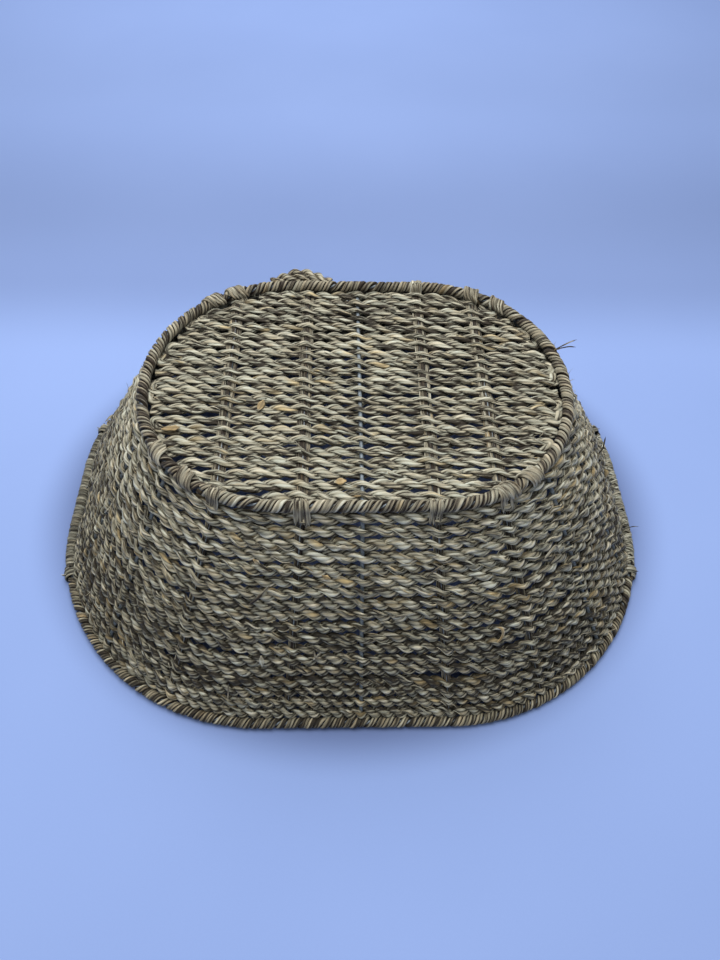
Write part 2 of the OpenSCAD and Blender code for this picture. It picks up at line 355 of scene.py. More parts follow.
def rope(bundle, line, crossings, rng, lay, ply, tone, warm, strays=70, narrow=0.2):
    """Two plies of grass twisted round each other, opened where a stake passes between them.

    lay is the length of a full turn and ply a ply's half thickness and half width; narrow is how much
    the rope is pinched at a stake, and strays the number of loose blades in a metre.
    """
    theta = twist_phase(line, crossings, rng, lay)
    gap = np.full(len(line.s), 1.0)
    for c in crossings:
        d = np.abs(line.s - c)
        if line.closed:
            d = np.minimum(d, line.length - d)
        gap = np.minimum(gap, d)
    open_up = np.exp(-((gap / (4.2 * MM)) ** 2))
    pinch = narrow * (1 + 0.7 * wander(rng, line.s, 30 * MM, line.closed))
    pinch = pinch * np.exp(-((gap / (10 * MM)) ** 2))
    body = (1 - pinch) * (1 + 0.10 * wander(rng, line.s, 24 * MM, line.closed))
    lift = ply[0] * 0.78 * (1 - open_up) + (STAKE_WIRE / 2 + ply[0] * 0.8) * open_up
    reach = ply[1] * 0.93 * body
    plies = []
    for k in (0, 1):
        a = theta + np.pi * k
        fat = body * (1 + 0.13 * wander(rng, line.s, 11 * MM, line.closed))
        centre = line.p + line.n * (lift * np.cos(a))[:, None] + line.b * (reach * np.sin(a))[:, None]
        flat = 1 + 0.30 * np.abs(np.cos(a)) * (1 - 0.4 * open_up)
        thick, wide = ply[0] * fat / np.sqrt(flat), ply[1] * fat * flat
        core = (line.p, line.n / (lift + ply[0])[:, None], line.b / (reach + ply[1])[:, None], ROPE_CORE)
        light = tone + 0.10 * wander(rng, line.s, 40 * MM, line.closed)
        light = light - 0.08 * np.clip((-line.p[:, 0] - 0.11) / 0.05, 0, 1)  # darker towards the left end
        bundle.sweep(centre, line.n, line.b, thick, wide, rng, line.closed,
                     twist=-2 * np.pi / (1.6 * lay), tone=light, warm=warm, core=core)
        plies.append((centre, thick, wide))
    for _ in range(int(strays * line.length)):
        stray_blade(bundle, line, plies[rng.randint(2)], rng, tone, warm)


def stray_blade(bundle, line, ply, rng, tone, warm):
    """A single blade of grass lying on a ply, with its ends a little loose."""
    centre, thick, wide = ply
    n = rng.randint(7, 17)
    i = rng.randint(0, len(centre) - n)
    if abs(line.p[i, 0]) < 0.10 and rng.rand() < 0.5:  # the ends of the basket are the hairy ones
        i = rng.randint(0, len(centre) - n)
    part = slice(i, i + n)
    t = np.linspace(0, 1, n)
    a = rng.uniform(-1.2, 1.2) + rng.uniform(-0.7, 0.7) * t
    loose = (rng.uniform(0.1, 1.4) * t ** 4 + rng.uniform(0.1, 0.6) * (1 - t) ** 4) * MM
    up = line.n[part] * np.cos(a)[:, None] + line.b[part] * np.sin(a)[:, None]
    p = (centre[part] + line.n[part] * (thick[part] * np.cos(a))[:, None]
         + line.b[part] * (wide[part] * np.sin(a))[:, None] + up * loose[:, None])
    side = unit(np.cross(unit(np.gradient(p, axis=0)), up))
    taper = np.sin(np.pi * np.clip(t * 0.92 + 0.04, 0, 1)) ** 0.5
    half_width = rng.uniform(0.35, 0.95) * MM * taper
    bundle.sweep(p, up, side, half_width * 0.32, half_width, rng, sides=5, blades=1,
                 tone=tone + rng.uniform(-0.25, 0.35), warm=warm, groove=0)


def wrap(bundle, line, rng, pitch, radius, thick, wide, tone, warm, hand=-1, starts=1, per_turn=24, blades=4):
    """Strands wound tightly round a line, side by side; pitch is one strand's advance in a turn."""
    n = int(line.length / pitch * per_turn)
    s = np.linspace(0, line.s[-1], n)
    p, nn, bb = resample(s, line.s, line.p), resample(s, line.s, line.n), resample(s, line.s, line.b)
    nn, bb = unit(nn), unit(bb)
    slip = 0.9 * wander(rng, s, 1.1 * pitch)
    for k in range(starts):
        a = hand * (2 * np.pi * (s / pitch + k / starts) + slip + 0.25 * wander(rng, s, 0.5 * pitch))
        r = np.interp(s, line.s, np.broadcast_to(radius, line.s.shape))
        r = r * (1 + 0.07 * wander(rng, s, pitch * 0.45))
        radial = nn * np.cos(a)[:, None] + bb * np.sin(a)[:, None]
        centre = p + radial * r[:, None]
        side = unit(np.cross(unit(np.gradient(centre, axis=0)), radial))
        fat = 1 + 0.14 * wander(rng, s, pitch * 0.6)
        whole = (r + thick)[:, None]
        bundle.sweep(centre, radial, side, thick * fat, wide * fat, rng, tone=tone, warm=warm, groove=0.24,
                     blades=blades, sides=4 * blades, core=(p, nn / whole, bb / whole, WRAP_CORE))


def tuft(bundle, root, heading, rng, length, half_width, tone=0.55, warm=0.1):
    """A loose end of grass: short, tapered and bent."""
    heading = unit(np.asarray(heading, float))
    sideways = unit(np.cross(heading, rng.normal(size=3)))
    t = np.linspace(0, 1, 7)
    bend = sideways * 0.5 * length
    centre = root + heading * (t * length)[:, None] + bend * (t ** 2)[:, None] * rng.uniform(0.1, 1)
    along = unit(np.gradient(centre, axis=0))
    up = unit(np.cross(along, sideways) + 1e-9)
    side = np.cross(along, up)
    taper = half_width * (1 - 0.85 * t ** 1.5)
    bundle.sweep(centre, up, side, taper * 0.45, taper, rng, sides=6, blades=1, tone=tone, warm=warm,
                 groove=0)


def strip(bundle, points, up, rng, half_width, half_thick, tone, warm, blades=2):
    """A flat blade of grass laid along a path."""
    p = smooth(even(points, step=1.0 * MM)[0], 3)
    line = Line(p, up)
    ends = np.clip(np.minimum(line.s, line.length - line.s) / (2.5 * MM), 0.25, 1)
    fat = ends * (1 + 0.15 * wander(rng, line.s, 8 * MM))
    bundle.sweep(line.p, line.n, line.b, half_thick * fat, half_width * fat, rng, sides=8, blades=blades,
                 tone=tone, warm=warm, groove=0.15)


# ---------------------------------------------------------------- materials
def new_material(name):
    m = bpy.data.materials.new(name)
    m.use_nodes = True
    m.node_tree.nodes.clear()
    out = m.node_tree.nodes.new("ShaderNodeOutputMaterial")
    shader = m.node_tree.nodes.new("ShaderNodeBsdfPrincipled")
    m.node_tree.links.new(shader.outputs[0], out.inputs[0])
    return m, shader


def node(m, kind, inputs=(), **settings):
    """A new node; inputs maps a socket to a value or to another node's output."""
    nd = m.node_tree.nodes.new(kind)
    for key, value in settings.items():
        setattr(nd, key, value)
    for key, value in dict(inputs).items():
        if isinstance(value, bpy.types.NodeSocket):
            m.node_tree.links.new(value, nd.inputs[key])
        else:
            nd.inputs[key].default_value = value
    return nd


def ramp(m, value, stops):
    """Colours by value; the stops run upwards, between 0 and 1."""
    nd = node(m, "ShaderNodeValToRGB", {"Fac": value})
    nd.color_ramp.interpolation = "EASE"
    for k, (at, colour) in enumerate(stops):
        e = nd.color_ramp.elements[k] if k < 2 else nd.color_ramp.elements.new(at)
        e.position, e.color = at, (*colour, 1)
    return nd.outputs["Color"]


def maths(m, operation, a, b):
    return node(m, "ShaderNodeMath", {0: a, 1: b}, operation=operation).outputs[0]


def mixed(m, a, b, blend="MULTIPLY", amount=1.0):
    """Two colours in one; amount is a value or another node's output."""
    mix = node(m, "ShaderNodeMix", {0: amount}, data_type="RGBA", blend_type=blend)
    sockets = [i for i in mix.inputs if i.type == "RGBA"]
    m.node_tree.links.new(a, sockets[0])
    m.node_tree.links.new(b, sockets[1])
    return [o for o in mix.outputs if o.type == "RGBA"][0]


def along_fibre(m, fibre, scale, detail, roughness):
    """Noise drawn out along the blades of grass, from 0 to 1."""
    stretched = node(m, "ShaderNodeMapping", {"Vector": fibre, "Scale": scale}).outputs[0]
    noise = node(m, "ShaderNodeTexNoise", {"Vector": stretched, "Scale": 1.0, "Detail": detail,
                                           "Roughness": roughness})
    return noise.outputs["Fac"]


def roughen(m, shader, height, strength, distance):
    bump = node(m, "ShaderNodeBump", {"Strength": strength, "Distance": distance, "Height": height})
    m.node_tree.links.new(bump.outputs[0], shader.inputs["Normal"])


def seagrass(name, dark, middle, pale, gold):
    """Dry twisted grass: long fibres, blades of different age, golden and brown lengths."""
    m, shader = new_material(name)
    fibre = node(m, "ShaderNodeAttribute", attribute_name="fibre").outputs["Vector"]
    tone = node(m, "ShaderNodeAttribute", attribute_name="tone").outputs["Fac"]
    warm = node(m, "ShaderNodeAttribute", attribute_name="warm").outputs["Fac"]
    streaks = along_fibre(m, fibre, (90, 1300, 1), 4.0, 0.62)
    hairs = along_fibre(m, fibre, (260, 4200, 3), 2.0, 0.5)
    blotch = along_fibre(m, fibre, (70, 500, 5), 3.0, 0.6)
    streak = maths(m, "MULTIPLY", maths(m, "SUBTRACT", streaks, 0.5), 1.5)
    hair = maths(m, "MULTIPLY", maths(m, "SUBTRACT", hairs, 0.5), 0.7)
    level = maths(m, "ADD", maths(m, "ADD", tone, streak), hair)
    colour = ramp(m, level, ((0.05, dark), (0.5, middle), (0.95, pale)))
    age = ramp(m, blotch, ((0.35, (0.93, 1.0, 0.96)), (0.68, (1.06, 0.97, 0.80))))
    golden = ramp(m, level, ((0.1, tuple(c * 0.35 for c in gold)), (0.9, gold)))
    colour = mixed(m, mixed(m, colour, age, amount=0.8), golden, "MIX", warm)
    m.node_tree.links.new(colour, shader.inputs["Base Color"])
    roughness = node(m, "ShaderNodeMapRange", {"Value": streaks, "To Min": 0.48, "To Max": 0.78})
    m.node_tree.links.new(roughness.outputs[0], shader.inputs["Roughness"])
    roughen(m, shader, maths(m, "ADD", streaks, maths(m, "MULTIPLY", hairs, 0.5)), 0.65, 0.0004)
    shader.inputs["Specular IOR Level"].default_value = 0.18
    shader.inputs["Sheen Weight"].default_value = 0.06
    shader.inputs["Sheen Roughness"].default_value = 0.5
    return m


def galvanised(name):
    """Dull zinc-coated wire, with faint crystals and dark scuffs."""
    m, shader = new_material(name)
    place = node(m, "ShaderNodeTexCoord").outputs["Object"]
    crystals = node(m, "ShaderNodeTexVoronoi", {"Vector": place, "Scale": 900.0}).outputs["Distance"]
    scuffs = node(m, "ShaderNodeTexNoise", {"Vector": place, "Scale": 260.0, "Detail": 5.0,
                                            "Roughness": 0.65}).outputs["Fac"]
    level = maths(m, "ADD", maths(m, "MULTIPLY", crystals, 0.5), scuffs)
    colour = ramp(m, level, ((0.45, (0.07, 0.085, 0.10)), (0.95, (0.17, 0.20, 0.225))))
    m.node_tree.links.new(colour, shader.inputs["Base Color"])
    rough = node(m, "ShaderNodeMapRange", {"Value": scuffs, "To Min": 0.45, "To Max": 0.7})
    m.node_tree.links.new(rough.outputs[0], shader.inputs["Roughness"])
    roughen(m, shader, scuffs, 0.25, 0.0002)
    shader.inputs["Metallic"].default_value = 0.25
    return m


# the floor's band of softer light behind the basket: how pale it is from the near edge to the far one
BAND_NEAR, BAND_FAR = 0.15, 0.95
BAND = ((0.0, (1, 1, 1)), (0.14, (0.74, 0.74, 0.75)), (0.26, (0.705, 0.705, 0.71)),
        (0.55, (0.89, 0.89, 0.89)), (1.0, (1.12, 1.12, 1.13)))
# the shade under the rim: half length and half depth of the oval that it fades out in, and how dark it is
SHADE_OVAL = (0.2664, 0.2256)
SHADE = ((0.717, (0.34, 0.34, 0.38)), (0.925, (1, 1, 1)))


def paper(name):
    """The plain pale floor, with a soft shade under the basket and a band of softer light behind it."""
    m, shader = new_material(name)
    place = node(m, "ShaderNodeTexCoord").outputs["Object"]
    cloud = node(m, "ShaderNodeTexNoise", {"Vector": place, "Scale": 3.0, "Detail": 3.0, "Roughness": 0.5})
    grain = node(m, "ShaderNodeTexNoise", {"Vector": place, "Scale": 900.0, "Detail": 2.0}).outputs["Fac"]
    cloud = maths(m, "MULTIPLY", cloud.outputs["Fac"], 0.8)
    level = maths(m, "ADD", cloud, maths(m, "MULTIPLY", grain, 0.2))
    colour = ramp(m, level, ((0.3, (0.206, 0.290, 0.545)), (0.7, (0.221, 0.308, 0.572))))
    oval = node(m, "ShaderNodeMapping", {"Vector": place, "Scale": (1 / SHADE_OVAL[0], 1 / SHADE_OVAL[1], 0)})
    away = node(m, "ShaderNodeVectorMath", {0: oval.outputs[0]}, operation="LENGTH").outputs["Value"]
    deep = node(m, "ShaderNodeSeparateXYZ", {0: place}).outputs["Y"]
    far = node(m, "ShaderNodeMapRange", {"Value": deep, "From Min": BAND_NEAR, "From Max": BAND_FAR})
    colour = mixed(m, mixed(m, colour, ramp(m, far.outputs[0], BAND)), ramp(m, away, SHADE))
    m.node_tree.links.new(colour, shader.inputs["Base Color"])
    roughen(m, shader, grain, 0.05, 0.0003)
    shader.inputs["Roughness"].default_value = 0.85
    shader.inputs["Specular IOR Level"].default_value = 0.2
    return m


# dark, middle, pale and golden colours of each kind of grass
base_grass = seagrass("base_grass", (0.020, 0.015, 0.010), (0.286, 0.270, 0.220), (0.44, 0.428, 0.372),
                      (0.47, 0.37, 0.20))
wall_grass = seagrass("wall_grass", (0.020, 0.016, 0.011), (0.245, 0.226, 0.175), (0.52, 0.50, 0.43),
                      (0.44, 0.33, 0.16))
wrap_grass = seagrass("wrap_grass", (0.018, 0.012, 0.008), (0.236, 0.212, 0.166), (0.47, 0.448, 0.385),
                      (0.44, 0.32, 0.16))
rim_grass = seagrass("rim_grass", (0.016, 0.012, 0.008), (0.215, 0.188, 0.138), (0.50, 0.465, 0.38),
                     (0.42, 0.30, 0.15))
grip_grass = seagrass("grip_grass", (0.025, 0.022, 0.017), (0.205, 0.195, 0.160), (0.54, 0.54, 0.50),
                      (0.42, 0.28, 0.12))
wire = galvanised("galvanised_wire")


# ---------------------------------------------------------------- the wire frame
def wires():
    for name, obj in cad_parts.items():
        if name.endswith("_wire") or "stake" in name:
            obj.data.materials.clear()
            obj.data.materials.append(wire)
            for polygon in obj.data.polygons:
                polygon.use_smooth = True


# ---------------------------------------------------------------- the base
def row_y(i):
    return (i - (ROWS + 1) / 2) * ROW_PITCH


def row_reach(y, clear=ROW_CLEAR):
    """How far from the middle a row at y can run and stay clear of the base ring."""
    past = max(abs(y) - (base_ring[1] - base_ring[2]), 0)
    return base_ring[0] - base_ring[2] + math.sqrt(max((base_ring[2] - clear) ** 2 - past ** 2, 0))


def row_points(y, side):
    """A straight row, laid towards side."""
    return [(x, y) for x in np.linspace(-side * row_reach(y), side * row_reach(y), 60)]


def turn_points(y0, y1, side):
    """The way along the border from one row to the next."""
    return [(side * row_reach(y), y) for y in np.linspace(y0, y1, 12)[1:-1]]


def base_path(pair):
    """Two rows of the base and the ways along the border from one row to the next."""
    ya, yb = row_y(2 * pair - 1), row_y(2 * pair)
    side = 1 if pair % 2 else -1
    path = row_points(ya, side) + turn_points(ya, yb, side) + row_points(yb, -side)
    if pair < ROWS // 2:
        path += turn_points(yb, row_y(2 * pair + 1), -side)
    p, _ = even(np.array([(x, y, wall_top[3]) for x, y in path]))
    return smooth(p, 5)


def base_rope(pair):
    """Two rows of the base, laid in one run that turns at the border."""
    rng = np.random.RandomState(100 + pair)
    p = base_path(pair)
    near = np.array([row_reach(y) for y in p[:, 1]]) - np.abs(p[:, 0])
    dip = np.clip(1 - near / (12 * MM), 0, 1) ** 2
    line = Line(p, UP)
    across = 0.8 * MM * wander(rng, line.s, 30 * MM) + 0.4 * MM * wander(rng, line.s, 12 * MM)
    if pair == 1:  # the first row bows away from the border and leaves a gap beside the second stake
        first = line.p[:, 1] < row_y(1) + 2 * MM
        across += np.where(first, 2.4 * MM * np.exp(-(((line.p[:, 0] + 0.062) / 0.017) ** 2)), 0)
    line = line.moved(0.5 * MM * wander(rng, line.s, 30 * MM) - 1.5 * MM * dip, across)
    crossings = []
    for x in STAKE_X:
        past = np.sign(line.p[:, 0] - x)
        crossings += [line.s[k] for k in np.nonzero(past[1:] != past[:-1])[0]]
    bundle = Bundle()
    rope(bundle, line, crossings, rng, lay=(23.5 + 3 * rng.rand()) * MM, ply=(1.5 * MM, 2.15 * MM),
         tone=0.61 - 0.09 * pair / 11, warm=0.13, narrow=0.25)
    bundle.piece(f"base_rope_{pair}_twisted", base_grass, [f"base_rope_{pair}"])


# ---------------------------------------------------------------- the walls
def wall_course(bundle, i, rng):
    """One turn round the wall; neighbouring courses sag together."""
    w = course(i)
    line = wall_line(w)
    down = i / COURSES
    upper = wander(np.random.RandomState(7), line.s, 60 * MM, True)
    lower = wander(np.random.RandomState(8), line.s, 45 * MM, True)
    sag = 2.4 * MM * ((1 - down) * upper + down * lower)
    sag = sag * min(i - 1, COURSES - i, 4) / 4 + 0.6 * MM * wander(rng, line.s, 26 * MM, True)
    line = line.moved(0.8 * MM * wander(rng, line.s, 34 * MM, True), sag)
    crossings = [line.nearest(p) for p in stake_places(w)]
    lay = (21.5 - 0.33 * i + 2 * rng.uniform(-1, 1)) * MM
    rope(bundle, line, crossings, rng, lay=lay, ply=(1.8 * MM, (2.26 + 0.01 * i) * MM),
         tone=0.79 - 0.022 * i, warm=0.16, strays=110, narrow=0.17)


def wall_rope(pair):
    rng = np.random.RandomState(200 + pair)
    bundle = Bundle()
    for i in (2 * pair - 1, 2 * pair):
        wall_course(bundle, i, rng)
    bundle.piece(f"wall_rope_{pair}_twisted", wall_grass, [f"wall_rope_{pair}"])


def hand_hole_path(courses, side, reach):
    """Along one course and back along the next, with the way out at each point."""
    (p, out), (q, q_out) = [long_half(w, side) for w in courses]
    keep = (np.abs(p[:, 0]) <= reach) & (p[:, 1] * side > 0)
    q_keep = (np.abs(q[:, 0]) <= reach) & (q[:, 1] * side > 0)
    path = np.vstack([p[keep], q[q_keep][::-1]])
    out = np.vstack([out[keep], q_out[q_keep][::-1]]) * wall_out + UP * wall_up
    return even(path, out, closed=True)


def hand_hole_rope(side, name):
    """The two lowest courses, which stop and turn back at the hand holes."""
    rng = np.random.RandomState(300 + side)
    courses = course(COURSES - 1), course(COURSES)
    p, out = hand_hole_path(courses, side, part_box(name)[1].x - 3 * MM)
    line = Line(smooth(p, 6, closed=True), out, True)
    line = line.moved(0.5 * MM * wander(rng, line.s, 38 * MM, True),
                      0.6 * MM * wander(rng, line.s, 50 * MM, True))
    crossings = set()
    for w in courses:
        for place in stake_places(w):
            d = np.linalg.norm(line.p[:, :2] - place, axis=1) + np.abs(line.p[:, 2] - w[3]) * 0.5
            if d.min() < 3 * MM:
                crossings.add(line.s[int(d.argmin())])
    bundle = Bundle()
    rope(bundle, line, sorted(crossings), rng, lay=15.5 * MM, ply=(1.8 * MM, 2.4 * MM), tone=0.54,
         warm=0.16, strays=110, narrow=0.14)
    bundle.piece(name + "_twisted", wall_grass, [name])


# ---------------------------------------------------------------- border, rim and grips
def lump(bundle, line, at, rng):
    """A rope end brought over the border and tucked in beside it."""
    k = int(np.searchsorted(line.s, at))
    p, t = line.p[k], line.t[k]
    out = unit(np.cross(t, UP))
    out = out * (1 if out[:2].dot(p[:2]) > 0 else -1)
    for j in range(5):
        r = (4.6 + rng.uniform(-0.4, 0.5)) * MM
        shift = t * ((j - 2) * 2.0 * MM)
        lean = t * rng.uniform(4, 8) * MM
        turn = np.radians(np.linspace(215, -40, 16))
        arch = [p + shift + lean * (i / 15 - 0.5) + out * math.cos(a) * r + UP * math.sin(a) * r
                for i, a in enumerate(turn)]
        strip(bundle, arch, unit(out * 0.5 + UP), rng, 1.35 * MM, 1.0 * MM, tone=0.58, warm=0.1)


def border(name, start, end, seed, lumps):
    """The border's wrapping between two directions, with rope ends at some fractions of its length."""
    rng = np.random.RandomState(seed)
    p, out = outline(base_ring, start, end)
    line = Line(*even(p, up_and_out(out)))
    bundle = Bundle()
    wrap(bundle, line, rng, 11.0 * MM, 2.25 * MM, 1.6 * MM, 2.25 * MM, starts=2, tone=0.49, warm=0.08,
         per_turn=30)
    for at in lumps:
        lump(bundle, line, line.length * at, rng)
    bundle.piece(name + "_wrapped", wrap_grass, [name])


def rim_wrap(name, side, seed):
    """The wrapping of the rim from the knots of one grip to those of the other."""
    rng = np.random.RandomState(seed)
    knots_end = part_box("grip_knots_left")[1].y
    p, out = long_half(rim_ring, side)
    keep = p[:, 1] * side > knots_end - 1.5 * MM
    line = Line(*even(p[keep], up_and_out(out[keep])))
    bundle = Bundle()
    wrap(bundle, line, rng, 9.6 * MM, 2.1 * MM, 1.45 * MM, 2.02 * MM, starts=2, tone=0.46, warm=0.12,
         per_turn=28)
    bundle.piece(name + "_wrapped", rim_grass, [name])


def grip(name, side, seed):
    """A grip: fine close turns on the left one, two crossing layers of rope on the right one."""
    rng = np.random.RandomState(seed)
    lo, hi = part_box(name)
    p, out = end_half(rim_ring, side)
    keep = (p[:, 1] > lo.y) & (p[:, 1] < hi.y)
    line = Line(*even(p[keep], up_and_out(out[keep])))
    bundle = Bundle()
    if side < 0:
        wrap(bundle, line, rng, 2.3 * MM, 3.2 * MM, 1.2 * MM, 1.25 * MM, tone=0.5, warm=0.03, blades=2)
    else:
        wrap(bundle, line, rng, 8.0 * MM, 2.9 * MM, 1.35 * MM, 1.7 * MM, tone=0.54, warm=0.06, starts=2)
        wrap(bundle, line, rng, 10.0 * MM, 3.1 * MM, 1.2 * MM, 1.5 * MM, tone=0.54, warm=0.06, hand=1,
             starts=2)
    bundle.piece(name + "_wound", grip_grass, [name])


def grip_knots(name, side, seed):
    """A few thick turns and a short tuft at each end of a grip."""
    rng = np.random.RandomState(seed)
    lo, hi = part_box(name)
    p, out = end_half(rim_ring, side)
    bundle = Bundle()
    for y0, y1 in ((lo.y, lo.y + 8 * MM), (hi.y - 8 * MM, hi.y)):
        keep = (p[:, 1] > y0 - 2 * MM) & (p[:, 1] < y1 + 2 * MM)
        q, q_out = even(p[keep], up_and_out(out[keep]))
        inside = (q[:, 1] >= y0 - 0.5 * MM) & (q[:, 1] <= y1 + 0.5 * MM)
        line = Line(q[inside], q_out[inside])
        fat = 3.9 * MM + 0.5 * MM * np.sin(np.linspace(0, np.pi, len(line.s)))
        wrap(bundle, line, rng, 3.0 * MM, fat, 1.3 * MM, 1.9 * MM, hand=1, tone=0.45, warm=0.05, blades=3)
        mid = len(line.p) // 2
        for _ in range(4):
            lean = line.t[mid] * rng.uniform(-0.7, 0.7) + line.b[mid] * rng.uniform(-0.4, 0.5)
            lean = lean + line.n[mid] * 0.4
            tuft(bundle, line.p[mid] + line.n[mid] * 3.6 * MM, out[keep][0] * 0.9 + lean, rng,
                 rng.uniform(2, 4.5) * MM, 0.8 * MM)
    bundle.piece(name + "_wound", grip_grass, [name])


def lashing(name, seed):
    """Strips of grass that tie a stake to the border and run on down the wall."""
    rng = np.random.RandomState(seed)
    lo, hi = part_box(name)
    x, y = (lo.x + hi.x) / 2, (lo.y + hi.y) / 2
    flat = base_ring[0] - base_ring[2]
    a = math.asin(min(max((abs(x) - flat) / base_ring[2], 0), 1))
    out = np.array([math.copysign(math.sin(a), x), math.copysign(math.cos(a), y), 0])
    along = np.array([-out[1], out[0], 0])
    centre = np.array([x, y, base_ring[3]])
    bundle = Bundle()
    for k in range(5):
        offset = along * ((k - 2) * 1.5 * MM + rng.uniform(-0.3, 0.3) * MM)
        lean = along * rng.uniform(-1.6, 1.6) * MM
        r = 4.1 * MM + rng.uniform(-0.25, 0.25) * MM
        turn = np.radians(np.linspace(200, -20, 14))
        arch = [centre + offset + lean * (0.5 - i / 13) + out * math.cos(t) * r + UP * math.sin(t) * r
                for i, t in enumerate(turn)]
        inner = centre + offset + lean * 0.7 - out * (7.5 + rng.rand() * 3) * MM - UP * 3.5 * MM
        tail = (7 + 5 * rng.rand()) * MM
        outer = centre + offset - lean * 0.9 + out * (r + wall_up * tail * 0.6)
        outer = outer - UP * (tail * wall_out + 1 * MM)
        strip(bundle, [inner, *arch, outer], out + UP * 0.3, rng, 1.0 * MM, 0.75 * MM,
              tone=0.62 + rng.uniform(-0.1, 0.15), warm=0.08)
    bundle.piece(name + "_strips", wrap_grass, [name])


def border_tail(name):
    """The loose rope end behind the border: two lengths that fill its low loop."""
    rng = np.random.RandomState(77)
    lo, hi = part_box(name)
    t = np.linspace(0, 1, 40)
    bundle = Bundle()
    for bow, rise, fat in ((1.0, 1.0, 2.1), (0.45, 0.8, 1.9)):
        x = lo.x + 1 * MM + (hi.x - lo.x - 2 * MM) * t
        y = lo.y - 1.0 * MM + bow * (hi.y - lo.y - 2.5 * MM) * np.sin(np.pi * t)
        z = (lo.z + hi.z) / 2 + rise * 2.2 * MM * np.sin(np.pi * t) ** 2
        p, _ = even(np.column_stack([x, y, z]))
        rope(bundle, Line(p, UP), [], rng, lay=17 * MM, ply=(fat * MM, fat * MM), tone=0.55, warm=0.1)
    bundle.piece(name + "_twisted", wrap_grass, [name])


# ---------------------------------------------------------------- strips along the stakes, loose fibres
# offset and height of each strip in millimetres, and its tone
BASE_STRIPS = ((-3.3, 0.1, 0.50), (-2.2, 0.4, 0.56), (-0.6, 1.0, 0.08), (0.6, 1.0, 0.05), (2.1, 0.4, 0.54),
               (3.2, 0.1, 0.48))
WALL_STRIPS = ((-1.9, -0.4, 0.5), (-0.5, 0.9, 0.12), (0.6, 0.9, 0.16), (2.0, -0.4, 0.42))
FRONT_FACE = np.array([0, -wall_out, wall_up])
BACK_FACE = np.array([0, wall_out, wall_up])


def stake_strips(index):
    """Strips of grass along a stake, in two bunches with a dark one between, over the base and walls."""
    rng = np.random.RandomState(500 + index)
    x, foot = STAKE_X[index - 1], course(COURSES)
    edge = long_stake_place(wall_top, x)[1]
    foot_x, foot_y = long_stake_place(foot, x)
    base = np.column_stack([np.full(60, x), np.linspace(-edge, edge, 60), np.full(60, wall_top[3])])
    front = np.linspace([foot_x, -foot_y, foot[3]], base[0], 40)[:-1]
    back = np.linspace(base[-1], [foot_x, foot_y, foot[3]], 40)[1:]
    runs = (base, UP, BASE_STRIPS), (front, FRONT_FACE, WALL_STRIPS), (back, BACK_FACE, WALL_STRIPS)
    bundle = Bundle()
    for path, up, strips in runs:
        line = Line(path, up)
        for offset, lift, tone in strips:
            laid = line.moved(lift * MM + 0.2 * MM * wander(rng, line.s, 9 * MM),
                              offset * MM + 0.5 * MM * wander(rng, line.s, 18 * MM))
            strip(bundle, laid.p, up, rng, 0.75 * MM, 0.4 * MM, tone=tone, warm=0.1)
    bundle.piece(f"stake_strips_{index}", wrap_grass)


def place_on_wall(rng):
    """A random place on the walls, oftener at the ends, and the way out there."""
    w = course(rng.randint(1, COURSES + 1))
    a = rng.choice([0, 180]) + 75 * rng.normal()
    p, out = outline(w, a, a + 0.5)
    return p[0], out[0]


def wall_fibre(bundle, rng):
    p, out = place_on_wall(rng)
    along = np.cross(UP, out)
    face = out * wall_out + UP * wall_up
    root = p + face * 2.4 * MM + UP * rng.uniform(-2, 2) * MM
    heading = along * rng.choice([-1, 1]) * rng.uniform(0.6, 1) + face * rng.uniform(0.15, 0.6)
    heading = heading - UP * rng.uniform(-0.3, 0.5)
    tuft(bundle, root, heading, rng, rng.uniform(3, 10) * MM, rng.uniform(0.18, 0.42) * MM,
         tone=rng.uniform(0.3, 0.75), warm=0.15)


def base_fibre(bundle, rng):
    y = row_y(rng.randint(1, ROWS + 1))
    x = rng.uniform(-1, 1) * row_reach(y, 8 * MM)
    root = np.array([x, y + rng.uniform(-2, 2) * MM, wall_top[3] + 2.4 * MM])
    heading = np.array([rng.choice([-1, 1]) * rng.uniform(0.6, 1), rng.uniform(-0.4, 0.4),
                        rng.uniform(0.1, 0.4)])
    tuft(bundle, root, heading, rng, rng.uniform(3, 9) * MM, rng.uniform(0.18, 0.4) * MM,
         tone=rng.uniform(0.4, 0.85), warm=0.15)


def loose_fibres():
    """Stray ends that stand out of the ropes all over the basket."""
    rng = np.random.RandomState(900)
    bundle = Bundle()
    for _ in range(480):
        wall_fibre(bundle, rng)
    for _ in range(110):
        base_fibre(bundle, rng)
    bundle.piece("loose_fibres", wrap_grass)


def on_wall(i, x, out=2.6):
    """A place on the face of the front wall at course i, x along it and out millimetres off its line."""
    w = course(i)
    flat = max(abs(x) - (w[0] - w[2]), 0)
    y = -(w[1] - w[2] + math.sqrt(w[2] ** 2 - flat ** 2))
    return np.array([x, y - out * MM * wall_out, w[3] + out * MM * wall_up])


def on_base(row, x, up=3.2):
    """A place over the base at a row, x along it and up millimetres above its line."""
    return np.array([x, row_y(row), wall_top[3] + up * MM])


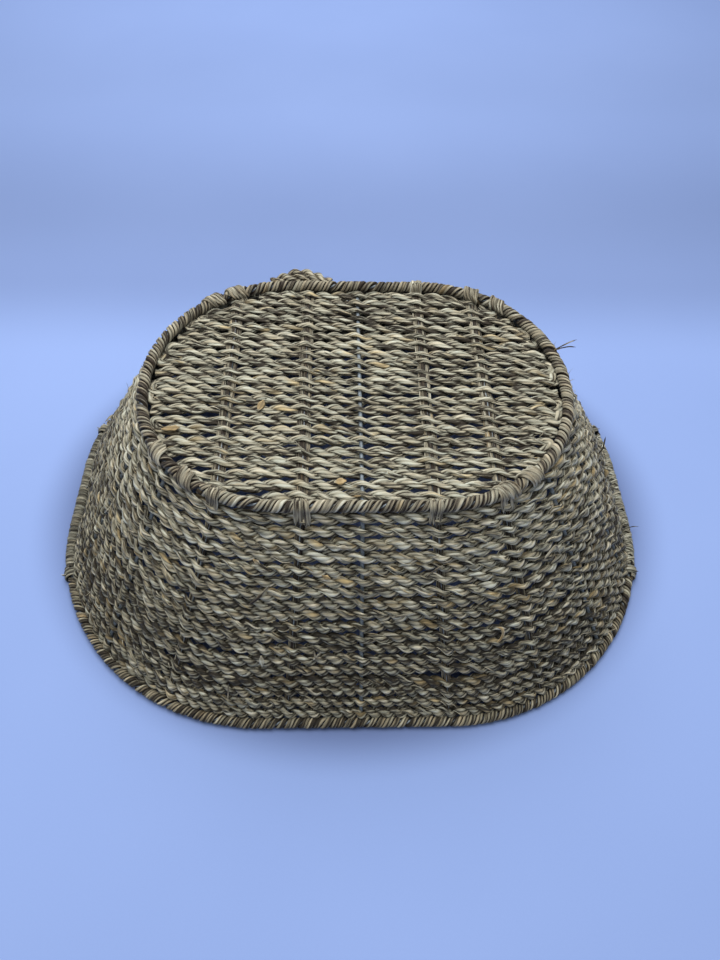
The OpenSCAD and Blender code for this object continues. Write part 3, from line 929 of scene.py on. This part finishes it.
# tabs, sticks and curls on the front wall: their points as course, x and height, then half width, tone,
# warmth and half thickness
WALL_CHIPS = (
    (((4.2, -0.060), (4.6, -0.056)), 2.0, 0.72, 0.5, 0.35),
    (((8.0, -0.064, 3), (7.2, -0.058, 4.5), (6.2, -0.051, 3.4)), 0.9, 0.55, 0.2, 0.35),
    (((12.3, -0.058, 3.2), (13.3, -0.0575, 3.4)), 1.5, 0.85, 0, 0.35),
    (((12.0, -0.022, 3.6), (12.8, -0.027, 3)), 0.6, 0.95, 0, 0.35),
    (((11.9, -0.026, 3.2), (12.9, -0.025, 3.4)), 0.5, 0.9, 0.1, 0.35),
    (((15.2, -0.079, 3.4), (16.6, -0.080, 3)), 0.5, 0.85, 0.2, 0.35),
    (((5.4, -0.021, 3), (5.7, -0.016, 3)), 1.7, 0.6, 1.0, 0.8),
    (((3.1, -0.013, 3), (3.2, -0.004, 3.2)), 1.5, 0.95, 0.35, 0.8),
    (((5.5, 0.039, 3.4), (4.5, 0.048, 4.4)), 0.6, 0.8, 0.1, 0.35),
    ([(11.2 - 0.7 * math.cos(a), 0.084 + 0.005 * math.sin(a), 3.4) for a in (0, 0.8, 1.6, 2.4, 3.1)],
     1.0, 0.6, 0.45, 0.35),
    (((6.8, 0.112, 3), (6.1, 0.119, 6), (7.3, 0.124, 4)), 0.7, 0.85, 0.1, 0.35),
    (((9.0, 0.020, 3), (8.6, 0.034, 3.4)), 0.8, 0.8, 0.1, 0.35),
)
# the same over the base, with the row in place of the course
BASE_CHIPS = (
    (((8.6, -0.060), (9.6, -0.057, 4.2)), 2.0, 0.6, 0.4, 0.35),
    (((2.0, -0.014, 3.6), (2.1, -0.007, 3.8)), 2.2, 0.75, 0.6, 1.0),
    (((0.6, -0.004, 5.4), (0.7, 0.001, 5.2)), 0.9, 0.8, 0.8, 0.8),
    (((6.8, -0.116, 3.4), (6.9, -0.105, 3.8)), 2.0, 0.6, 0.7, 0.7),
)


def chip(bundle, rng, points, half_width, tone, warm, up, half_thick=0.35):
    strip(bundle, points, up, rng, half_width * MM, half_thick * MM, tone=tone, warm=warm, blades=1)


def chips():
    """Flat tabs, sticks and curls of grass that stick out where they do on the real basket."""
    rng = np.random.RandomState(950)
    bundle = Bundle()
    for table, place, up in ((WALL_CHIPS, on_wall, FRONT_FACE), (BASE_CHIPS, on_base, UP)):
        for points, half_width, tone, warm, half_thick in table:
            chip(bundle, rng, [place(*p) for p in points], half_width, tone, warm, up, half_thick)
    right_edge = np.array([base_ring[0] - 3 * MM, 0.028, base_ring[3] + 2 * MM])
    for bend, rise in ((0.5, 9), (-0.2, 5)):
        curl = [right_edge + np.array([t * 15, t * 3 + bend * 4 * t ** 2, rise * t - 4 * t ** 3]) * MM
                for t in (0, 0.3, 0.7, 1)]
        chip(bundle, rng, curl, 0.45, 0.3, 0.3, UP)
    middle = base_ring * 0.45 + rim_ring * 0.55
    foot = np.array([middle[0] + 4 * MM, 0.004, middle[3] - 12 * MM])
    stalk = [foot, foot + np.array([3, 1, 10]) * MM, foot + np.array([2, 3, 21]) * MM]
    chip(bundle, rng, stalk, 0.9, 0.12, 0, np.array([1.0, 0, 0.3]))
    left = np.array([-middle[0] - 3.4 * MM, 0.020, middle[3] + 8 * MM])
    chip(bundle, rng, [left, left + np.array([6, 3, 5]) * MM], 1.8, 0.85, 0, np.array([-1.0, 0, 0.6]))
    tip = np.array([rim_ring[0] + 1 * MM, -0.030, rim_ring[3] + 3 * MM])
    fibre = [tip, tip + np.array([4, 1, 1]) * MM, tip + np.array([8, 0.5, 1.5]) * MM]
    chip(bundle, rng, fibre, 0.35, 0.3, 0.2, UP)
    bundle.piece("chips", wrap_grass)


# ---------------------------------------------------------------- floor, light and camera
FLOOR_HALF = 6.0


def flat_floor():
    """A plain pale floor, flat on every side so that the basket can be seen from behind as well."""
    at = np.linspace(-FLOOR_HALF, FLOOR_HALF, 25)
    n = len(at)
    co = [(x, y, 0.0) for y in at for x in at]
    faces = [(r * n + c, r * n + c + 1, (r + 1) * n + c + 1, (r + 1) * n + c)
             for r in range(n - 1) for c in range(n - 1)]
    mesh = bpy.data.meshes.new("floor")
    mesh.from_pydata(co, [], faces)
    mesh.materials.append(paper("pale_paper"))
    obj = bpy.data.objects.new("floor", mesh)
    bpy.context.scene.collection.objects.link(obj)


def soft_light(name, place, target, size, power, colour):
    light = bpy.data.lights.new(name, "AREA")
    light.shape, light.size, light.size_y = "RECTANGLE", size[0], size[1]
    light.energy, light.color = power, colour
    obj = bpy.data.objects.new(name, light)
    obj.location = place
    obj.rotation_euler = (Vector(target) - Vector(place)).to_track_quat("-Z", "Y").to_euler()
    bpy.context.scene.collection.objects.link(obj)


def lights():
    """Two large lights above and behind, a weak one in front, and a pale blue sky."""
    soft_light("top_light", (-0.06, 0.10, 1.25), (0, 0.02, 0), (0.9, 0.7), 16.5, (1.0, 0.985, 0.955))
    soft_light("back_light", (-0.10, 0.80, 1.05), (0, 0.0, 0.05), (0.9, 0.5), 9.0, (1.0, 0.985, 0.96))
    soft_light("front_fill", (-0.1, -1.5, 1.0), (0, 0, 0.05), (1.6, 1.0), 3.2, (0.99, 0.99, 1.0))
    world = bpy.data.worlds.new("studio")
    bpy.context.scene.world = world
    world.use_nodes = True
    back = world.node_tree.nodes["Background"]
    back.inputs[0].default_value = (0.86, 0.92, 1.0, 1)
    back.inputs[1].default_value = 0.42


def camera():
    """Close and steep, as the object is seen: 55 degrees down, turned and rolled a little."""
    cam = bpy.data.cameras.new("camera")
    cam.sensor_fit, cam.sensor_height, cam.lens = "VERTICAL", 36.0, 27.04
    cam.clip_start = 0.01
    obj = bpy.data.objects.new("camera", cam)
    turn = Matrix.Rotation(math.radians(-3.3), 4, "Z")
    tilt = Matrix.Rotation(math.radians(90 - 54.7), 4, "X")
    roll = Matrix.Rotation(math.radians(2.7), 4, "Z")
    place = Matrix.Translation((-0.0129, -0.3098, 0.465))
    obj.matrix_world = place @ turn @ tilt @ roll
    bpy.context.scene.collection.objects.link(obj)
    bpy.context.scene.camera = obj


camera()
lights()
flat_floor()
wires()
for pair in range(1, ROWS // 2 + 1):
    base_rope(pair)
for pair in range(1, (COURSES - 2) // 2 + 1):
    wall_rope(pair)
hand_hole_rope(-1, "hand_hole_rope_front")
hand_hole_rope(1, "hand_hole_rope_back")
border("border_right", -60, 60, 11, (0.07, 0.93))
border("border_back", 60, 120, 12, (0.04, 0.96))
border("border_left", 120, 240, 13, (0.05, 0.80, 0.93))
border("border_front", 240, 300, 14, (0.97,))
rim_wrap("rim_wrap_front", -1, 21)
rim_wrap("rim_wrap_back", 1, 22)
grip("grip_left", -1, 31)
grip("grip_right", 1, 32)
grip_knots("grip_knots_left", -1, 33)
grip_knots("grip_knots_right", 1, 34)
for k in range(1, 8):
    lashing(f"lashing_{k}", 400 + k)
border_tail("border_tail")
for k in (1, 2, 4, 5):
    stake_strips(k)
loose_fibres()
chips()

bpy.context.scene.view_settings.view_transform = "Standard"
